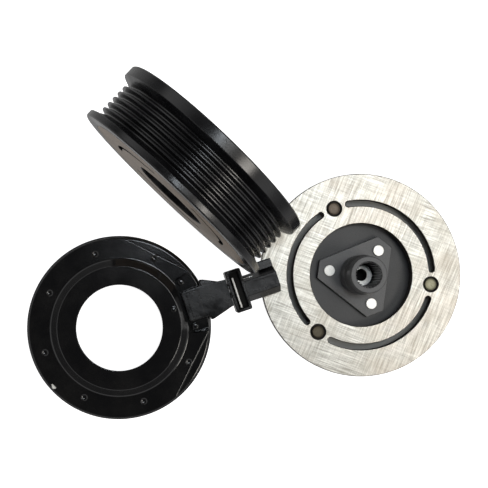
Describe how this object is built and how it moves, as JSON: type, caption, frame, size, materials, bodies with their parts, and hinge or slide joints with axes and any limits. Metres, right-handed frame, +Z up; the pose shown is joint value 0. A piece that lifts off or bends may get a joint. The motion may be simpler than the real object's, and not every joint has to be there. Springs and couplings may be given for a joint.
{
  "type": "electromagnetic clutch",
  "caption": "Electromagnetic compressor clutch laid out as a kit: ring-shaped field coil with a connector arm, grooved belt pulley on its bearing, and a hub with a sprung armature plate.",
  "frame": {"origin": "on the surface the three loose pieces lie on, at the middle of their footprint", "axes": "+Z up; +X from the field coil towards the hub; +Y towards the far side, where the pulley stands"},
  "size_m": [0.2336, 0.1786, 0.115],
  "materials": {
    "black_painted_steel": "gloss black e-coat over pressed steel",
    "bobbin_nylon": "natural glass-filled nylon",
    "copper": null,
    "potting_resin": "dark poured epoxy",
    "black_moulding": "satin black glass-filled nylon moulding",
    "tinned_blade": "tin-plated brass blade",
    "gloss_black_pulley": "gloss black paint over forged steel, bare brownish friction face",
    "bearing_steel": "ground bearing steel",
    "cage_nylon": "moulded nylon cage",
    "seal_rubber": "moulded nitrile",
    "black_phosphated_steel": "satin black phosphate on forged and stamped steel",
    "bright_steel": "bright zinc-plated steel",
    "ground_steel": "bare steel with crossed grinding marks",
    "spring_steel": "blued spring steel",
    "olive_rivet": "olive chromated steel rivets"
  },
  "bodies": {
    "field_coil_and_inner_ring": {"coil_shell": "black_painted_steel", "mounting_plate": "black_painted_steel", "locating_pin": "black_painted_steel", "bobbin": "bobbin_nylon", "copper_winding": "copper", "potting_resin": "potting_resin", "winding_lead_1": "copper", "winding_lead_2": "copper", "retaining_tab_1": "black_painted_steel", "retaining_tab_2": "black_painted_steel", "connector_arm": "black_moulding", "connector_housing": "black_moulding", "terminal_blade_1": "tinned_blade", "terminal_blade_2": "tinned_blade", "bearing_inner_ring": "bearing_steel"},
    "bearing_cage_and_balls": {"bearing_cage": "cage_nylon", "bearing_ball_1_1": "bearing_steel", "bearing_ball_1_2": "bearing_steel", "bearing_ball_1_3": "bearing_steel", "bearing_ball_1_4": "bearing_steel", "bearing_ball_1_5": "bearing_steel", "bearing_ball_1_6": "bearing_steel", "bearing_ball_1_7": "bearing_steel", "bearing_ball_1_8": "bearing_steel", "bearing_ball_1_9": "bearing_steel", "bearing_ball_2_1": "bearing_steel", "bearing_ball_2_2": "bearing_steel", "bearing_ball_2_3": "bearing_steel", "bearing_ball_2_4": "bearing_steel", "bearing_ball_2_5": "bearing_steel", "bearing_ball_2_6": "bearing_steel", "bearing_ball_2_7": "bearing_steel", "bearing_ball_2_8": "bearing_steel", "bearing_ball_2_9": "bearing_steel"},
    "pulley": {"pulley_rotor": "gloss_black_pulley", "bearing_outer_ring": "bearing_steel", "bearing_seal_front": "seal_rubber", "bearing_seal_back": "seal_rubber"},
    "hub": {"front_plate": "black_phosphated_steel", "hub": "black_phosphated_steel", "hub_rivet_1": "bright_steel", "hub_rivet_2": "bright_steel", "hub_rivet_3": "bright_steel", "air_gap_shim": "bright_steel", "leaf_spring_1": "spring_steel", "leaf_spring_2": "spring_steel", "leaf_spring_3": "spring_steel", "spring_rivet_1": "spring_steel", "spring_rivet_2": "spring_steel", "spring_rivet_3": "spring_steel"},
    "armature": {"armature_plate": "ground_steel", "armature_rivet_1": "olive_rivet", "armature_rivet_2": "olive_rivet", "armature_rivet_3": "olive_rivet"}
  },
  "joints": [
    {"name": "pulley_spin", "type": "hinge", "parent": "field_coil_and_inner_ring", "child": "pulley", "pos_m": [-0.0316, 0.03796, 0.0575], "axis": [-0.6845, -0.729, 0], "continuous": true},
    {"name": "bearing_cage_turn", "type": "hinge", "parent": "field_coil_and_inner_ring", "child": "bearing_cage_and_balls", "pos_m": [-0.0316, 0.03796, 0.0575], "axis": [-0.6845, -0.729, 0], "continuous": true},
    {"name": "hub_spin", "type": "hinge", "parent": "field_coil_and_inner_ring", "child": "hub", "pos_m": [0.0618, -0.01354, 0.0135], "axis": [0, 0, 1], "continuous": true},
    {"name": "armature_pull_in", "type": "slide", "parent": "hub", "child": "armature", "axis": [0, 0, 1], "range_m": [0, 0.0005], "stiffness_N_per_m": 40000}
  ],
  "couplings": [
    {"joint": "bearing_cage_turn", "follows": "pulley_spin", "ratio": 0.5675}
  ]
}
